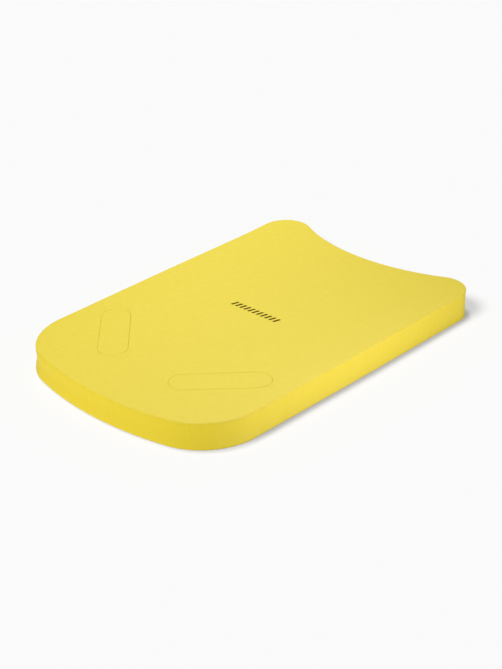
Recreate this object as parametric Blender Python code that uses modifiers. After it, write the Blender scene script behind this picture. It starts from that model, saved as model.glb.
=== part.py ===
"""Swimming kickboard: a slab of closed-cell EVA foam, die-cut to its outline, with two hand holds cut
right through it behind the nose corners. Each hand hold is still filled by the foam plug that the
die left in it, and the plug pushes out by hand.

Run it with: blender --background --python part.py
Metres, +Z up. The origin is on the surface that the board lies on, under the middle of its box.
-Y points to the rounded nose and +Y to the scalloped tail. Left and right are the swimmer's, who
holds the tail and looks to the nose, so left is +X.
"""

from math import acos, asin, atan2, ceil, cos, hypot, pi, radians, sin, sqrt

import bmesh
import bpy

# Driving dimensions of the board
LENGTH = 0.426
WIDTH = 0.283
THICKNESS = 0.030
NOSE_RADIUS = 0.364
SHOULDER_RADIUS = 0.0693
TAIL_CORNER_RADIUS = 0.0290
SCALLOP_DEPTH = 0.0249
RIM_RADIUS = 0.0015
BOARD_DISH = 0.0010  # a thick foam springs back from the die, so its cut edge is hollow at mid height

# Driving dimensions of the two hand holds and their plugs
HOLD_LENGTH = 0.102
HOLD_WIDTH = 0.0313
HOLD_ACROSS = 0.0766  # from the centre line to the middle of a hold
HOLD_FROM_NOSE = 0.0971
HOLD_ANGLE = radians(45)
KERF = 0.0003  # the gap all round a plug
PLUG_DISH = 0.0007
PLUG_EDGE = 0.0004

# Fineness of the facets
CHORD_ERROR = 0.00008
WALL_ROWS = 8
RIM_SEGMENTS = 3
CUTTER_MARGIN = 0.004
WELD = 0.00001
FLAT = radians(0.5)
RIM_ANGLE = radians(60)

FOAM_YELLOW = (0.860, 0.690, 0.070, 1.0)
FOAM_ROUGHNESS = 0.62


def clear_scene():
    for item in list(bpy.data.objects):
        bpy.data.objects.remove(item)


def new_collection(name):
    made = bpy.data.collections.new(name)
    bpy.context.scene.collection.children.link(made)
    return made


def foam_material(name):
    material = bpy.data.materials.new(name)
    material.use_nodes = True
    shader = material.node_tree.nodes["Principled BSDF"]
    shader.inputs["Base Color"].default_value = FOAM_YELLOW
    shader.inputs["Roughness"].default_value = FOAM_ROUGHNESS
    shader.inputs["Metallic"].default_value = 0.0
    return material


def arc(centre, radius, start, end):
    """Points on an arc from angle start to angle end, both ends included, to within CHORD_ERROR."""
    step = 2 * acos(1 - CHORD_ERROR / radius)
    count = ceil(abs(end - start) / step)
    angles = [start + (end - start) * i / count for i in range(count + 1)]
    return [(centre[0] + radius * cos(a), centre[1] + radius * sin(a)) for a in angles]


def without_repeats(points):
    """The closed path without points that lie on the one before, as where two arcs meet."""
    return [p for i, p in enumerate(points) if hypot(p[0] - points[i - 1][0], p[1] - points[i - 1][1]) > WELD]


def board_outline():
    """The closed plan outline. Each half is four arcs, tangent to each other and to the straight side."""
    half = WIDTH / 2
    nose = (0.0, NOSE_RADIUS - LENGTH / 2)
    shoulder_x = half - SHOULDER_RADIUS
    inner = NOSE_RADIUS - SHOULDER_RADIUS
    shoulder = (shoulder_x, nose[1] - sqrt(inner**2 - shoulder_x**2))
    turn = asin(shoulder_x / inner)

    tail = (half - TAIL_CORNER_RADIUS, LENGTH / 2 - TAIL_CORNER_RADIUS)
    scallop_radius = (tail[0] ** 2 + SCALLOP_DEPTH**2) / (2 * SCALLOP_DEPTH) - TAIL_CORNER_RADIUS
    scallop = (0.0, LENGTH / 2 - SCALLOP_DEPTH + scallop_radius)
    away = atan2(scallop[1] - tail[1], scallop[0] - tail[0])

    right = arc(nose, NOSE_RADIUS, -pi / 2, -pi / 2 + turn)
    right += arc(shoulder, SHOULDER_RADIUS, -pi / 2 + turn, 0.0)
    right += arc(tail, TAIL_CORNER_RADIUS, 0.0, away)
    right += arc(scallop, scallop_radius, away - pi, -pi / 2)
    left = [(-x, y) for x, y in reversed(right)]
    return without_repeats(right + left)


def pill_outline(length, width):
    """A slot shape with half-round ends, along X, centred on the origin."""
    radius = width / 2
    reach = length / 2 - radius
    right = arc((reach, 0.0), radius, -pi / 2, pi / 2)
    left = arc((-reach, 0.0), radius, pi / 2, 3 * pi / 2)
    return without_repeats(right + left)


def slab(name, outline, low, high, collection):
    """A mesh object of the outline between two heights, made from a filled, extruded 2D curve."""
    curve = bpy.data.curves.new(name, "CURVE")
    curve.dimensions = "2D"
    curve.fill_mode = "BOTH"
    curve.extrude = (high - low) / 2
    spline = curve.splines.new("POLY")
    spline.points.add(len(outline) - 1)
    for point, (x, y) in zip(spline.points, outline):
        point.co = (x, y, 0.0, 1.0)
    spline.use_cyclic_u = True
    guide = bpy.data.objects.new(name + "_guide", curve)
    collection.objects.link(guide)
    graph = bpy.context.evaluated_depsgraph_get()
    mesh = bpy.data.meshes.new_from_object(guide.evaluated_get(graph))
    mesh.name = name
    bpy.data.objects.remove(guide)

    shape = bmesh.new()
    shape.from_mesh(mesh)
    bmesh.ops.translate(shape, verts=shape.verts, vec=(0.0, 0.0, (low + high) / 2))
    bmesh.ops.remove_doubles(shape, verts=shape.verts, dist=WELD)
    bmesh.ops.dissolve_limit(shape, angle_limit=FLAT, verts=shape.verts, edges=shape.edges)
    bmesh.ops.recalc_face_normals(shape, faces=shape.faces)
    shape.to_mesh(mesh)
    shape.free()
    made = bpy.data.objects.new(name, mesh)
    collection.objects.link(made)
    return made


def dish_wall(item, height, depth, rim):
    """Cuts the upright wall of a slab on the floor into rows and draws it in to a hollow between its rims."""
    shape = bmesh.new()
    shape.from_mesh(item.data)
    upright = [e for e in shape.edges if abs(e.verts[0].co.z - e.verts[1].co.z) > height / 2]
    bmesh.ops.subdivide_edges(shape, edges=upright, cuts=WALL_ROWS - 1, use_grid_fill=True)
    shape.normal_update()
    for vertex in shape.verts:
        share = (vertex.co.z - rim) / (height - 2 * rim)
        if 0.0 < share < 1.0:
            vertex.co -= vertex.normal * depth * sin(pi * share) ** 2
    shape.to_mesh(item.data)
    shape.free()


def round_rims(item, radius, segments):
    bevel = item.modifiers.new("rims", "BEVEL")
    bevel.width = radius
    bevel.segments = segments
    bevel.limit_method = "ANGLE"
    bevel.angle_limit = RIM_ANGLE
    bevel.use_clamp_overlap = False


def cut(item, cutter):
    boolean = item.modifiers.new("cut_" + cutter.name, "BOOLEAN")
    boolean.operation = "DIFFERENCE"
    boolean.solver = "EXACT"
    boolean.object = cutter


def hold_place(side):
    """Centre of the hand hold on side +1 or -1, and the angle of its length from +X."""
    return (side * HOLD_ACROSS, HOLD_FROM_NOSE - LENGTH / 2, 0.0), side * HOLD_ANGLE


def make_board(frame, parts, material):
    board = slab("foam_board", board_outline(), 0.0, THICKNESS, parts)
    dish_wall(board, THICKNESS, BOARD_DISH, RIM_RADIUS)
    round_rims(board, RIM_RADIUS, RIM_SEGMENTS)
    board.data.materials.append(material)
    board.parent = frame
    return board


def make_hold_cutter(name, side, frame, cutters):
    outline = pill_outline(HOLD_LENGTH, HOLD_WIDTH)
    cutter = slab(name, outline, -CUTTER_MARGIN, THICKNESS + CUTTER_MARGIN, cutters)
    cutter.parent = frame
    cutter.location, cutter.rotation_euler.z = hold_place(side)
    cutter.hide_render = True
    cutter.display_type = "WIRE"
    return cutter


def make_plug(name, side, frame, parts, material):
    outline = pill_outline(HOLD_LENGTH - 2 * KERF, HOLD_WIDTH - 2 * KERF)
    plug = slab(name, outline, 0.0, THICKNESS, parts)
    dish_wall(plug, THICKNESS, PLUG_DISH, PLUG_EDGE)
    round_rims(plug, PLUG_EDGE, 1)
    plug.data.materials.append(material)
    plug.parent = frame
    plug.location, plug.rotation_euler.z = hold_place(side)
    return plug


def shade(item):
    item.data.shade_smooth()
    item.data.set_sharp_from_angle(angle=radians(35))


def main():
    clear_scene()
    parts = new_collection("swimming_kickboard")
    cutters = new_collection("cutters")
    frame = bpy.data.objects.new("kickboard_frame", None)
    parts.objects.link(frame)

    board = make_board(frame, parts, foam_material("board_foam"))
    shade(board)
    plug_foam = foam_material("plug_foam")
    for side, word in ((1, "left"), (-1, "right")):
        cut(board, make_hold_cutter(word + "_hold", side, frame, cutters))
        shade(make_plug(word + "_grip_plug", side, frame, parts, plug_foam))


main()
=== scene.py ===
"""Looks of the swimming kickboard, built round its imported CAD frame.

The foam board and its two push-out plugs are rebuilt as fine meshes with soft rims, cut walls that
spring back to a hollow, and die lines pressed into the skin. A printed mark of slanted bars lies on
the top face. All in metres, in the CAD frame: +Z up, -Y to the nose, +Y to the scalloped tail.
"""

from math import asin, atan2, ceil, cos, exp, hypot, pi, radians, sin, sqrt, tan

import bpy
from mathutils import Matrix, Vector, geometry, noise


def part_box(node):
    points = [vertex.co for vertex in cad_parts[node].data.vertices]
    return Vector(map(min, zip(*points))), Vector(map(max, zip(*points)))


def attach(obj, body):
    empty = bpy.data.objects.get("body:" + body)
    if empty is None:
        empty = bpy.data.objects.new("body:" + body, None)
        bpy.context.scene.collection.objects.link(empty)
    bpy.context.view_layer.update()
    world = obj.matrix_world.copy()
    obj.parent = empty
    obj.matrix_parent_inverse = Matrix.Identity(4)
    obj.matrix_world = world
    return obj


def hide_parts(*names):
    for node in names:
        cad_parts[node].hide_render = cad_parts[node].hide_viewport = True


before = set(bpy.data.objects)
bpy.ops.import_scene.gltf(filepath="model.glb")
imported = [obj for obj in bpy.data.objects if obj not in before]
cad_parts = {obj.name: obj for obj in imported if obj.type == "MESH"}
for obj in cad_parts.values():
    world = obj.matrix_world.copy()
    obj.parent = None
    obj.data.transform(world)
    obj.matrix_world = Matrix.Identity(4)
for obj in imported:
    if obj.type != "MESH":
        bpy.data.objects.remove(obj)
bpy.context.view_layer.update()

# The board, from its CAD solid
BOARD_LOW, BOARD_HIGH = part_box("foam_board")
LENGTH = BOARD_HIGH[1] - BOARD_LOW[1]
WIDTH = BOARD_HIGH[0] - BOARD_LOW[0]
THICKNESS = BOARD_HIGH[2] - BOARD_LOW[2]
NOSE_RADIUS = 0.364
SHOULDER_RADIUS = 0.0693
TAIL_CORNER_RADIUS = 0.0290
SCALLOP_DEPTH = 0.0249
RIM_RADIUS = 0.0015  # on average
RIM_SLOPE = 2.6  # how much that radius changes, as a share per metre, towards the right nose corner
SIDE_BOW = 0.0007  # how far the long sides swell at their middle
SIDE_MIDDLE = 0.012  # where along Y that middle is
SIDE_LENGTH = 0.330

# How the foam springs back from the die along the outer cut
BOARD_DISH = 0.00065  # how deep the wall is hollow, on average
DISH_SLOPE = 0.0028  # how much deeper it is per metre towards the right nose corner
DISH_SPREAD = 0.00015  # how much it wanders along the wall
DISH_WAVES = 9  # how many times per metre it wanders
DISH_SEED = 3.1
LIP_DEPTH = 0.00032  # how far the dense skin stands out past the cut cells next to it, on average
LIP_SLOPE = 3.0  # how much that changes, as a share per metre, towards the left tail corner
LIP_HEIGHT = 0.0045  # how far below the rim the cells are all of that depth back
FOOT_FLARE = 0.0021  # how far the foot of the right nose corner stands out past its top
FLARE_TOWARDS = (-0.72, -0.69)  # the way that corner faces
FLARE_FOCUS = 6  # higher keeps the flare closer to that corner
TAIL_FULL = 0.0025  # how far the right tail corner stands out past the left one
TAIL_FULL_AT = (-0.124, 0.206)
TAIL_FULL_REACH = 0.038

# The hand holds and plugs, as in the CAD
HOLD_LENGTH = 0.102
HOLD_WIDTH = 0.0313
HOLD_ACROSS = 0.0766
HOLD_FROM_NOSE = 0.0971
HOLD_ANGLE = radians(45)
DIE_GAP = 0.00014  # between a plug and its hand hold at the top face
HOLD_DISH = 0.0005
PLUG_DISH = 0.0007
DIE_DRAW = 0.00041  # how far the die pulls the skin down at its cut
DIE_REACH = 0.0005  # where that pull has dropped to about a third
DIE_EDGE = 0.00025  # from the drawn-down skin to the first row of the cut wall

# Fineness of the meshes
STEP = 0.0016
PILL_STEP = 0.0010
GRID = 0.0050
WALL_ROWS = 28
RIM_STEPS = 6
FACE_INSETS = (0.0060, 0.0030, 0.0012)  # rings on a face, from the edge of the rim inwards
DIE_INSETS = (0.0048, 0.0034, 0.0024, 0.0017, 0.0012, 0.0008, 0.0005, 0.0003, 0.00015, 0.00006, 0.0)
GRID_CLEAR = GRID * 0.6  # between the outermost ring on a face and the grid inside it
HOLD_INSIDE = 0.004  # nearer than this to a hold's outline, a cap's triangle is over the hold
OUTLINE_SLACK = 0.0001  # how near to half the width a point of a long side is
MERGE = 1e-7  # points nearer than this are one point to the triangulation

# The slight unevenness of a foam sheet
WAVE_HEIGHT = 0.00010
WAVE_LENGTH = 0.075

# Centres of the plan's arcs, on the +X half
NOSE_Y = NOSE_RADIUS - LENGTH / 2
SHOULDER_X = WIDTH / 2 - SHOULDER_RADIUS
SHOULDER_Y = NOSE_Y - sqrt((NOSE_RADIUS - SHOULDER_RADIUS) ** 2 - SHOULDER_X**2)
TAIL_X = WIDTH / 2 - TAIL_CORNER_RADIUS
TAIL_Y = LENGTH / 2 - TAIL_CORNER_RADIUS
SCALLOP_RADIUS = (TAIL_X**2 + SCALLOP_DEPTH**2) / (2 * SCALLOP_DEPTH) - TAIL_CORNER_RADIUS
SCALLOP_Y = LENGTH / 2 - SCALLOP_DEPTH + SCALLOP_RADIUS


def top_wave(x, y):
    """Height that the foam sheet's own unevenness adds to the top face."""
    return WAVE_HEIGHT * noise.noise(Vector((x / WAVE_LENGTH, y / WAVE_LENGTH, 0.0)))


def arc(centre, radius, start, end, step, outward=1):
    """(x, y, normal x, normal y) along an arc, its last point left out."""
    count = max(2, ceil(abs(end - start) * radius / step))
    points = []
    for i in range(count):
        angle = start + (end - start) * i / count
        away = (cos(angle), sin(angle))
        points.append(
            (centre[0] + radius * away[0], centre[1] + radius * away[1], outward * away[0], outward * away[1])
        )
    return points


def line(start, end, normal, step):
    """(x, y, normal x, normal y) along a straight run, its last point left out."""
    count = max(1, ceil(hypot(end[0] - start[0], end[1] - start[1]) / step))
    return [
        (start[0] + (end[0] - start[0]) * i / count, start[1] + (end[1] - start[1]) * i / count, *normal)
        for i in range(count)
    ]


def board_outline():
    """The closed plan outline, anticlockwise from the middle of the nose."""
    half = WIDTH / 2
    turn = asin(SHOULDER_X / (NOSE_RADIUS - SHOULDER_RADIUS))
    away = atan2(SCALLOP_Y - TAIL_Y, -TAIL_X)

    half_path = arc((0.0, NOSE_Y), NOSE_RADIUS, -pi / 2, -pi / 2 + turn, STEP)
    half_path += arc((SHOULDER_X, SHOULDER_Y), SHOULDER_RADIUS, -pi / 2 + turn, 0.0, STEP)
    half_path += line((half, SHOULDER_Y), (half, TAIL_Y), (1.0, 0.0), STEP)
    half_path += arc((TAIL_X, TAIL_Y), TAIL_CORNER_RADIUS, 0.0, away, STEP)
    half_path += arc((0.0, SCALLOP_Y), SCALLOP_RADIUS, away - pi, -pi / 2, STEP, outward=-1)
    middle = (0.0, LENGTH / 2 - SCALLOP_DEPTH, 0.0, 1.0)
    mirrored = [(-x, y, -nx, ny) for x, y, nx, ny in reversed(half_path[1:])]
    return half_path + [middle] + mirrored


def pill_outline(side, grow=0.0):
    """The closed outline of the hand hold on side +1 or -1, grown by a distance, anticlockwise."""
    radius = HOLD_WIDTH / 2 + grow
    reach = (HOLD_LENGTH - HOLD_WIDTH) / 2
    path = arc((reach, 0.0), radius, -pi / 2, pi / 2, PILL_STEP)
    path += line((reach, radius), (-reach, radius), (0.0, 1.0), PILL_STEP)
    path += arc((-reach, 0.0), radius, pi / 2, 3 * pi / 2, PILL_STEP)
    path += line((-reach, -radius), (reach, -radius), (0.0, -1.0), PILL_STEP)
    centre_x, centre_y = hold_centre(side)
    c, s = cos(side * HOLD_ANGLE), sin(side * HOLD_ANGLE)
    return [
        (centre_x + c * x - s * y, centre_y + s * x + c * y, c * nx - s * ny, s * nx + c * ny)
        for x, y, nx, ny in path
    ]


def hold_centre(side):
    return side * HOLD_ACROSS, HOLD_FROM_NOSE - LENGTH / 2


def from_hold(x, y, side):
    """Distance from a point to the outline of a hand hold, below 0 inside it."""
    centre_x, centre_y = hold_centre(side)
    c, s = cos(side * HOLD_ANGLE), sin(side * HOLD_ANGLE)
    along = c * (x - centre_x) + s * (y - centre_y)
    across = -s * (x - centre_x) + c * (y - centre_y)
    reach = (HOLD_LENGTH - HOLD_WIDTH) / 2
    return hypot(max(abs(along) - reach, 0.0), across) - HOLD_WIDTH / 2


def side_bow(x, y):
    """How far the outline swells at a point: only along the long sides, most at their middle."""
    if abs(x) < WIDTH / 2 - OUTLINE_SLACK:
        return 0.0
    return SIDE_BOW * cos(pi * max(-0.5, min(0.5, (y - SIDE_MIDDLE) / SIDE_LENGTH))) ** 2


def foot_flare(nx, ny):
    """How far the foot of the wall stands out where the outline faces (nx, ny)."""
    return FOOT_FLARE * max(0.0, nx * FLARE_TOWARDS[0] + ny * FLARE_TOWARDS[1]) ** FLARE_FOCUS


def tail_fullness(x, y):
    """How far the outline stands out near the right tail corner, which is fuller than the left one."""
    away = hypot(x - TAIL_FULL_AT[0], y - TAIL_FULL_AT[1])
    return TAIL_FULL * exp(-((away / TAIL_FULL_REACH) ** 2))


def rim_softness(x, y):
    """Scale of the rim's radius: the sheet's edge is softer towards the right nose corner."""
    return 1.0 - RIM_SLOPE * (x + y) / sqrt(2)


def spring_back(x, y, below_rim):
    """How far the cut wall stands back from its rims, at a distance from the nearer rim."""
    if below_rim <= 0.0:
        return 0.0
    depth = BOARD_DISH - DISH_SLOPE * (x + y) / sqrt(2)
    depth += DISH_SPREAD * noise.noise(Vector((x * DISH_WAVES, y * DISH_WAVES, DISH_SEED)))
    middle = sin(pi * below_rim / (THICKNESS - 2 * RIM_RADIUS)) ** 2
    lip = LIP_DEPTH * max(0.0, 1.0 + LIP_SLOPE * (x + y) / sqrt(2))
    lip *= sin(pi / 2 * min(1.0, below_rim / LIP_HEIGHT)) ** 2
    return depth * middle + lip


def rim_profile():
    """(inset, height) down the outer wall of the board: top face, rim, upright wall, rim, bottom face."""
    rows = [(RIM_RADIUS + inset, THICKNESS) for inset in FACE_INSETS]
    for i in range(RIM_STEPS + 1):
        angle = pi / 2 * (1 - i / RIM_STEPS)
        rows.append((RIM_RADIUS * (1 - cos(angle)), THICKNESS - RIM_RADIUS * (1 - sin(angle))))
    top_half = len(rows)
    for i in range(1, WALL_ROWS):
        share = (1 - cos(pi * i / WALL_ROWS)) / 2
        rows.append((0.0, THICKNESS - RIM_RADIUS - share * (THICKNESS - 2 * RIM_RADIUS)))
    rows += [(inset, THICKNESS - height) for inset, height in reversed(rows[:top_half])]
    return rows


def die_profile():
    """(distance from the cut, height) down a die-cut wall: skin pulled down, wall, skin again."""
    rows = [(distance, THICKNESS - die_pull(distance)) for distance in DIE_INSETS]
    top_half = len(rows)
    edge = DIE_DRAW + DIE_EDGE
    for i in range(WALL_ROWS + 1):
        rows.append((0.0, THICKNESS - edge - (THICKNESS - 2 * edge) * i / WALL_ROWS))
    rows += [(distance, THICKNESS - height) for distance, height in reversed(rows[:top_half])]
    return rows


def die_pull(distance):
    """How far below the face the skin is, at a distance from a die cut."""
    return DIE_DRAW * exp(-distance / DIE_REACH)


def hollow(height, depth):
    """How far a cut wall stands back at a height."""
    return depth * sin(pi * height / THICKNESS) ** 2


class Solid:
    """Gathers the rings and faces of one closed mesh."""

    def __init__(self):
        self.points = []
        self.faces = []

    def ring(self, outline, place):
        """Adds a ring. place(x, y, nx, ny) gives each point's move along its normal, and its height."""
        first = len(self.points)
        for x, y, nx, ny in outline:
            move, height = place(x, y, nx, ny)
            px, py = x + nx * move, y + ny * move
            self.points.append((px, py, height + top_wave(px, py) * height / THICKNESS))
        return list(range(first, len(self.points)))

    def bridge(self, upper, lower, inward=False):
        """Faces between two rings of the same count. inward is for the wall of a hole."""
        count = len(upper)
        for i in range(count):
            j = (i + 1) % count
            face = (upper[i], lower[i], lower[j], upper[j])
            self.faces.append(face[::-1] if inward else face)

    def wall(self, rings, inward=False):
        """Faces down a stack of rings."""
        for upper, lower in zip(rings, rings[1:]):
            self.bridge(upper, lower, inward)

    def cap(self, loops, extra, keep, up):
        """Triangles between closed loops, with extra points inside."""
        known = [i for loop in loops for i in loop]
        flat = [Vector(self.points[i][:2]) for i in known] + [Vector(p[:2]) for p in extra]
        edges = []
        start = 0
        for loop in loops:
            edges += [(start + i, start + (i + 1) % len(loop)) for i in range(len(loop))]
            start += len(loop)
        first = len(self.points)
        self.points += extra
        result = geometry.delaunay_2d_cdt(flat, edges, [], 1, MERGE)
        names = known + list(range(first, first + len(extra)))
        origin = [names[o[0]] for o in result[3]]
        for face in result[2]:
            corners = [result[0][i] for i in face]
            middle = sum(corners, Vector((0.0, 0.0))) / len(corners)
            if not keep(middle.x, middle.y):
                continue
            turned = (corners[1] - corners[0]).cross(corners[2] - corners[0]) > 0
            indices = [origin[i] for i in face]
            self.faces.append(indices if turned == up else indices[::-1])

    def build(self, name, material, body):
        mesh = bpy.data.meshes.new(name)
        mesh.from_pydata(self.points, [], self.faces)
        mesh.validate()
        mesh.shade_smooth()
        mesh.materials.append(material)
        made = bpy.data.objects.new(name, mesh)
        bpy.context.scene.collection.objects.link(made)
        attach(made, body)
        return made


def grid_points(inside, height):
    """Points of a triangular grid over the board that inside(x, y) accepts."""
    points = []
    row_gap = GRID * sqrt(3) / 2
    rows = ceil(LENGTH / row_gap)
    columns = ceil(WIDTH / GRID)
    for r in range(rows):
        y = -LENGTH / 2 + (r + 0.5) * row_gap
        for c in range(columns):
            x = -WIDTH / 2 + (c + 0.25 + 0.5 * (r % 2)) * GRID
            if inside(x, y):
                points.append((x, y, height + top_wave(x, y) * height / THICKNESS))
    return points


def inside_board(x, y, margin):
    """True where a point is more than margin inside the board's outline."""
    across = abs(x)
    if across > WIDTH / 2 - margin or y > LENGTH / 2 - margin:
        return False
    if y < NOSE_Y and hypot(across, y - NOSE_Y) > NOSE_RADIUS - margin:
        return False
    if across > SHOULDER_X and y < SHOULDER_Y:
        if hypot(across - SHOULDER_X, y - SHOULDER_Y) > SHOULDER_RADIUS - margin:
            return False
    if across > TAIL_X and y > TAIL_Y and hypot(across - TAIL_X, y - TAIL_Y) > TAIL_CORNER_RADIUS - margin:
        return False
    return across > TAIL_X or hypot(across, y - SCALLOP_Y) > SCALLOP_RADIUS + margin


def board_place(inset, height):
    """The place function of one ring of the board: a point's move along its normal, and its height."""
    on_wall = inset == 0.0 and RIM_RADIUS < height < THICKNESS - RIM_RADIUS
    from_face = min(height, THICKNESS - height)

    def place(x, y, nx, ny):
        soft = rim_softness(x, y)
        if on_wall:
            share = (from_face - RIM_RADIUS) / (THICKNESS - 2 * RIM_RADIUS)
            depth = soft * RIM_RADIUS + share * (THICKNESS - 2 * soft * RIM_RADIUS)
            back = spring_back(x, y, depth - soft * RIM_RADIUS)
        else:
            depth, back = soft * from_face, soft * inset
        z = depth if height < THICKNESS / 2 else THICKNESS - depth
        out = side_bow(x, y) + tail_fullness(x, y) + foot_flare(nx, ny) * (1 - z / THICKNESS)
        return out - back, z

    return place


def die_rings(solid, outline, depth, outward):
    """The rings down a die-cut wall that is hollow by depth. outward is 1 for a hold, -1 for a plug."""
    rings = []
    for distance, height in die_profile():
        back = hollow(height, depth) if distance == 0.0 else 0.0
        move = outward * (distance + back)
        rings.append(solid.ring(outline, lambda *_, move=move, height=height: (move, height)))
    return rings


def make_board(material):
    solid = Solid()
    outline = board_outline()
    rings = [solid.ring(outline, board_place(inset, height)) for inset, height in rim_profile()]
    solid.wall(rings)

    hold_tops, hold_bottoms = [], []
    for side in (1, -1):
        hold = die_rings(solid, pill_outline(side), HOLD_DISH, outward=1)
        solid.wall(hold, inward=True)
        hold_tops.append(hold[0])
        hold_bottoms.append(hold[-1])

    def from_holds(x, y):
        return min(from_hold(x, y, 1), from_hold(x, y, -1))

    def inside(x, y):
        from_edge = RIM_RADIUS + FACE_INSETS[0] + GRID_CLEAR
        return inside_board(x, y, from_edge) and from_holds(x, y) > DIE_INSETS[0] + GRID_CLEAR

    def keep(x, y):
        return from_holds(x, y) > HOLD_INSIDE

    solid.cap([rings[0]] + hold_tops, grid_points(inside, THICKNESS), keep, up=True)
    solid.cap([rings[-1]] + hold_bottoms, grid_points(inside, 0.0), keep, up=False)
    board = solid.build("foam_slab", material, "board")
    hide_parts("foam_board")
    return board


def make_plug(side, word, material):
    solid = Solid()
    rings = die_rings(solid, pill_outline(side, grow=-DIE_GAP), PLUG_DISH, outward=-1)
    solid.wall(rings)

    def inside(x, y):
        return from_hold(x, y, side) < -DIE_INSETS[0] - GRID_CLEAR

    def keep(x, y):
        return True

    solid.cap([rings[0]], grid_points(inside, THICKNESS), keep, up=True)
    solid.cap([rings[-1]], grid_points(inside, 0.0), keep, up=False)
    plug = solid.build(word + "_foam_plug", material, word + "_plug")
    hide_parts(word + "_grip_plug")
    return plug


# The printed mark: a row of even slanted bars, with no letters
MARK_MIDDLE = (0.0008, 0.0126)
MARK_LENGTH = 0.066
MARK_HEIGHT = 0.0084
MARK_SLANT = radians(16)
MARK_BARS = 11
BAR_SHARE = 0.46  # the inked share of the pitch
BAR_ROWS = 4
INK_LIFT = 0.00004


def make_mark(material):
    """Even slanted bars, laid on the top face."""
    points, faces = [], []
    pitch = MARK_LENGTH / MARK_BARS
    for i in range(MARK_BARS):
        left = -MARK_LENGTH / 2 + pitch * i
        right = left + BAR_SHARE * pitch
        first = len(points)
        for row in range(BAR_ROWS + 1):
            up = MARK_HEIGHT * (row / BAR_ROWS - 0.5)
            for along in (left, right):
                x = MARK_MIDDLE[0] - along - tan(MARK_SLANT) * up
                y = MARK_MIDDLE[1] - up
                points.append((x, y, THICKNESS + top_wave(x, y) + INK_LIFT))
        for row in range(BAR_ROWS):
            a = first + row * 2
            faces.append((a, a + 1, a + 3, a + 2))
    mesh = bpy.data.meshes.new("printed_bars")
    mesh.from_pydata(points, [], faces)
    mesh.materials.append(material)
    mark = bpy.data.objects.new("printed_bars", mesh)
    bpy.context.scene.collection.objects.link(mark)
    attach(mark, "board")
    return mark


# Colours, as linear red, green, blue
FACE_LIGHT = (0.880, 0.716, 0.060, 1.0)
FACE_DEEP = (0.858, 0.688, 0.052, 1.0)
CUT_LIGHT = (0.872, 0.680, 0.027, 1.0)
CUT_DEEP = (0.852, 0.660, 0.021, 1.0)
INK = (0.045, 0.028, 0.0, 1.0)
THIN_INK = (0.160, 0.110, 0.001, 1.0)


def node(tree, kind, **values):
    made = tree.nodes.new(kind)
    for name, value in values.items():
        setattr(made, name, value)
    return made


def tone(tree, pattern, deep, light, low=0.30, high=0.70):
    """The colour from deep to light that a pattern between low and high gives."""
    ramp = node(tree, "ShaderNodeValToRGB")
    for element, position, colour in zip(ramp.color_ramp.elements, (low, high), (deep, light)):
        element.position = position
        element.color = colour
    tree.links.new(pattern, ramp.inputs["Fac"])
    return ramp.outputs["Color"]


def skin_blotches(tree, place, seed):
    """A pattern for the skin of the faces, which seed makes different from piece to piece."""
    blotch = node(tree, "ShaderNodeTexNoise", noise_dimensions="4D")
    blotch.inputs["Scale"].default_value = 160.0
    blotch.inputs["Detail"].default_value = 3.0
    blotch.inputs["W"].default_value = seed
    tree.links.new(place, blotch.inputs["Vector"])
    return blotch.outputs["Fac"]


def die_streaks(tree, place):
    """A pattern of fine streaks that run up and down, as the die leaves them on a cut wall."""
    stretch = node(tree, "ShaderNodeMapping")
    stretch.inputs["Scale"].default_value = (300.0, 300.0, 7.0)
    tree.links.new(place, stretch.inputs["Vector"])
    streak = node(tree, "ShaderNodeTexNoise")
    streak.inputs["Scale"].default_value = 1.0
    streak.inputs["Detail"].default_value = 2.0
    tree.links.new(stretch.outputs["Vector"], streak.inputs["Vector"])
    return streak.outputs["Fac"]


def wall_share(tree):
    """1 on the upright walls and 0 on the faces, with a soft change over the rim."""
    geometry_node = node(tree, "ShaderNodeNewGeometry")
    split = node(tree, "ShaderNodeSeparateXYZ")
    tree.links.new(geometry_node.outputs["Normal"], split.inputs["Vector"])
    levelness = node(tree, "ShaderNodeMath", operation="ABSOLUTE")
    tree.links.new(split.outputs["Z"], levelness.inputs[0])
    share = node(tree, "ShaderNodeMapRange")
    share.inputs["From Min"].default_value = 0.80
    share.inputs["From Max"].default_value = 0.45
    tree.links.new(levelness.outputs[0], share.inputs["Value"])
    return share.outputs["Result"]


def foam_relief(tree, place, streaks, on_wall):
    """The normal of foam: a fine grain all over, and the die's streaks on the walls."""
    cells = node(tree, "ShaderNodeTexVoronoi")
    cells.inputs["Scale"].default_value = 1500.0
    tree.links.new(place, cells.inputs["Vector"])
    grain = node(tree, "ShaderNodeBump")
    grain.inputs["Strength"].default_value = 0.25
    grain.inputs["Distance"].default_value = 0.00015
    tree.links.new(cells.outputs["Distance"], grain.inputs["Height"])
    drag = node(tree, "ShaderNodeBump")
    drag.inputs["Distance"].default_value = 0.00003
    tree.links.new(on_wall, drag.inputs["Strength"])
    tree.links.new(streaks, drag.inputs["Height"])
    tree.links.new(grain.outputs["Normal"], drag.inputs["Normal"])
    return drag.outputs["Normal"]


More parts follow.
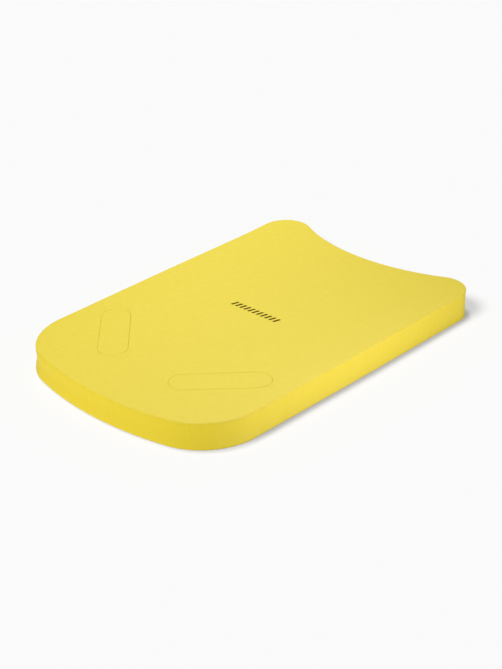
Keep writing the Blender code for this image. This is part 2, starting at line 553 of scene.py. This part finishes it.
def foam_material(name, seed):
    """Closed-cell foam: a fine-grained skin on the faces, open cells and die streaks on the cut wall."""
    material = bpy.data.materials.new(name)
    material.use_nodes = True
    tree = material.node_tree
    place = node(tree, "ShaderNodeTexCoord").outputs["Object"]
    streaks = die_streaks(tree, place)
    on_wall = wall_share(tree)

    colour = node(tree, "ShaderNodeMix", data_type="RGBA")
    face_socket, cut_socket, mixed = colour.inputs[6], colour.inputs[7], colour.outputs[2]
    tree.links.new(on_wall, colour.inputs["Factor"])
    tree.links.new(tone(tree, skin_blotches(tree, place, seed), FACE_DEEP, FACE_LIGHT), face_socket)
    tree.links.new(tone(tree, streaks, CUT_DEEP, CUT_LIGHT), cut_socket)

    shader = tree.nodes["Principled BSDF"]
    shader.inputs["Roughness"].default_value = 0.60
    shader.inputs["IOR"].default_value = 1.45
    shader.inputs["Specular IOR Level"].default_value = 0.20
    tree.links.new(mixed, shader.inputs["Base Color"])
    tree.links.new(foam_relief(tree, place, streaks, on_wall), shader.inputs["Normal"])
    return material


def ink_material():
    """Thin black pad print, a little patchy where the foam's grain took less ink."""
    material = bpy.data.materials.new("mark_ink")
    material.use_nodes = True
    tree = material.node_tree
    shader = tree.nodes["Principled BSDF"]
    place = node(tree, "ShaderNodeTexCoord")
    patchy = node(tree, "ShaderNodeTexNoise")
    patchy.inputs["Scale"].default_value = 900.0
    tree.links.new(place.outputs["Object"], patchy.inputs["Vector"])
    tree.links.new(tone(tree, patchy.outputs["Fac"], THIN_INK, INK, 0.35, 0.60), shader.inputs["Base Color"])
    shader.inputs["Specular IOR Level"].default_value = 0.0
    shader.inputs["Roughness"].default_value = 0.45
    return material


# The studio
CAMERA_PLACE = (1.0505, -1.0764, 0.8163)
CAMERA_AIM = (0.0132, -0.0062, 0.0143)
CAMERA_ROLL = -0.0199  # radians
CAMERA_LENS = 87.14  # millimetres on a 36 mm high sensor
FLOOR_HALF = 6.0
# Name, azimuth, elevation, spread in the sky, strength. Angles are in degrees, here and below
FLOOR_SUNS = (("floor_key", -100, 50, 25, 7.5), ("floor_top", 185, 79, 13, 4.5))
# Name, azimuth, elevation, distance, width, height, watts, colour
SOFTBOXES = (
    ("nose_softbox", -96, 14, 0.85, 0.40, 0.50, 2.12, (1.0, 1.0, 1.7)),
    ("nose_top_softbox", -90, 75, 0.70, 0.40, 0.40, 2.02, (1.0, 1.0, 1.0)),
    ("back_softbox", 135, 45, 0.85, 0.50, 0.50, 3.50, (1.0, 1.0, 1.0)),
    ("left_side_strip", 1, 12, 0.34, 0.36, 0.18, 0.39, (1.0, 1.01, 3.3)),
)
WORLD_STRENGTH = 0.18  # what the world lights everything with
WORLD_SEEN = 0.95  # what the camera sees past the edge of the floor
FLOOR_GREY = 0.18
FLOOR_GLOW = 0.342  # light of its own, which keeps the floor white round the board


def make_camera():
    camera = bpy.data.objects.new("camera", bpy.data.cameras.new("camera"))
    camera.data.sensor_fit = "VERTICAL"
    camera.data.sensor_height = 36.0
    camera.data.lens = CAMERA_LENS
    camera.data.clip_start = 0.01
    look = Vector(CAMERA_AIM) - Vector(CAMERA_PLACE)
    turn = look.to_track_quat("-Z", "Y").to_matrix().to_4x4()
    camera.matrix_world = Matrix.Translation(CAMERA_PLACE) @ turn @ Matrix.Rotation(CAMERA_ROLL, 4, "Z")
    bpy.context.scene.collection.objects.link(camera)
    bpy.context.scene.camera = camera


def make_floor():
    mesh = bpy.data.meshes.new("studio_floor")
    h = FLOOR_HALF
    mesh.from_pydata([(-h, -h, 0), (h, -h, 0), (h, h, 0), (-h, h, 0)], [], [(0, 1, 2, 3)])
    material = bpy.data.materials.new("studio_floor")
    material.use_nodes = True
    shader = material.node_tree.nodes["Principled BSDF"]
    shader.inputs["Base Color"].default_value = (FLOOR_GREY, FLOOR_GREY, FLOOR_GREY, 1.0)
    shader.inputs["Emission Color"].default_value = (1.0, 1.0, 1.0, 1.0)
    shader.inputs["Emission Strength"].default_value = FLOOR_GLOW
    shader.inputs["Roughness"].default_value = 1.0
    shader.inputs["Specular IOR Level"].default_value = 0.0
    mesh.materials.append(material)
    floor = bpy.data.objects.new("studio_floor", mesh)
    bpy.context.scene.collection.objects.link(floor)
    return floor


def aim(light, azimuth, elevation):
    """Turns a light to shine on the origin from an azimuth, where 0 is +X and 90 is +Y, and an elevation."""
    a, e = radians(azimuth), radians(elevation)
    source = Vector((cos(e) * cos(a), cos(e) * sin(a), sin(e)))
    light.rotation_euler = source.to_track_quat("Z", "Y").to_euler()
    bpy.context.scene.collection.objects.link(light)
    return source


def make_sun(name, azimuth, elevation, spread, strength):
    """A distant softbox, as wide in the sky as spread."""
    lamp = bpy.data.lights.new(name, "SUN")
    lamp.angle = radians(spread)
    lamp.energy = strength
    sun = bpy.data.objects.new(name, lamp)
    aim(sun, azimuth, elevation)
    return sun


def make_softbox(name, azimuth, elevation, distance, width, height, watts, colour):
    """A softbox close to the board, which the camera doesn't see."""
    lamp = bpy.data.lights.new(name, "AREA")
    lamp.shape = "RECTANGLE"
    lamp.size = width
    lamp.size_y = height
    lamp.energy = watts
    lamp.color = colour
    box = bpy.data.objects.new(name, lamp)
    box.location = aim(box, azimuth, elevation) * distance
    box.visible_camera = False
    return box


def light_only(lights, name, receivers):
    """Keeps the lights to these objects. Others still throw their shadows on them."""
    group = bpy.data.collections.new(name)
    for item in receivers:
        group.objects.link(item)
    for light in lights:
        light.light_linking.receiver_collection = group


def make_lights(pieces, floor):
    """Board and floor have their own lights, as if the floor were exposed apart from the board."""
    light_only([make_softbox(*values) for values in SOFTBOXES], "board_lit", pieces)
    light_only([make_sun(*values) for values in FLOOR_SUNS], "floor_lit", [floor])


def make_world():
    """A weak even light from all round, which the camera sees as white."""
    world = bpy.data.worlds.new("studio")
    world.use_nodes = True
    tree = world.node_tree
    background = tree.nodes["Background"]
    background.inputs["Color"].default_value = (1.0, 1.0, 1.0, 1.0)
    ray = node(tree, "ShaderNodeLightPath")
    strength = node(tree, "ShaderNodeMapRange")
    strength.inputs["To Min"].default_value = WORLD_STRENGTH
    strength.inputs["To Max"].default_value = WORLD_SEEN
    tree.links.new(ray.outputs["Is Camera Ray"], strength.inputs["Value"])
    tree.links.new(strength.outputs["Result"], background.inputs["Strength"])
    bpy.context.scene.world = world


board = make_board(foam_material("board_foam", 0.0))
plug_foam = foam_material("plug_foam", 4.0)
plugs = [make_plug(side, word, plug_foam) for side, word in ((1, "left"), (-1, "right"))]
mark = make_mark(ink_material())
make_camera()
make_lights([board, mark] + plugs, make_floor())
make_world()
bpy.context.scene.view_settings.view_transform = "Standard"
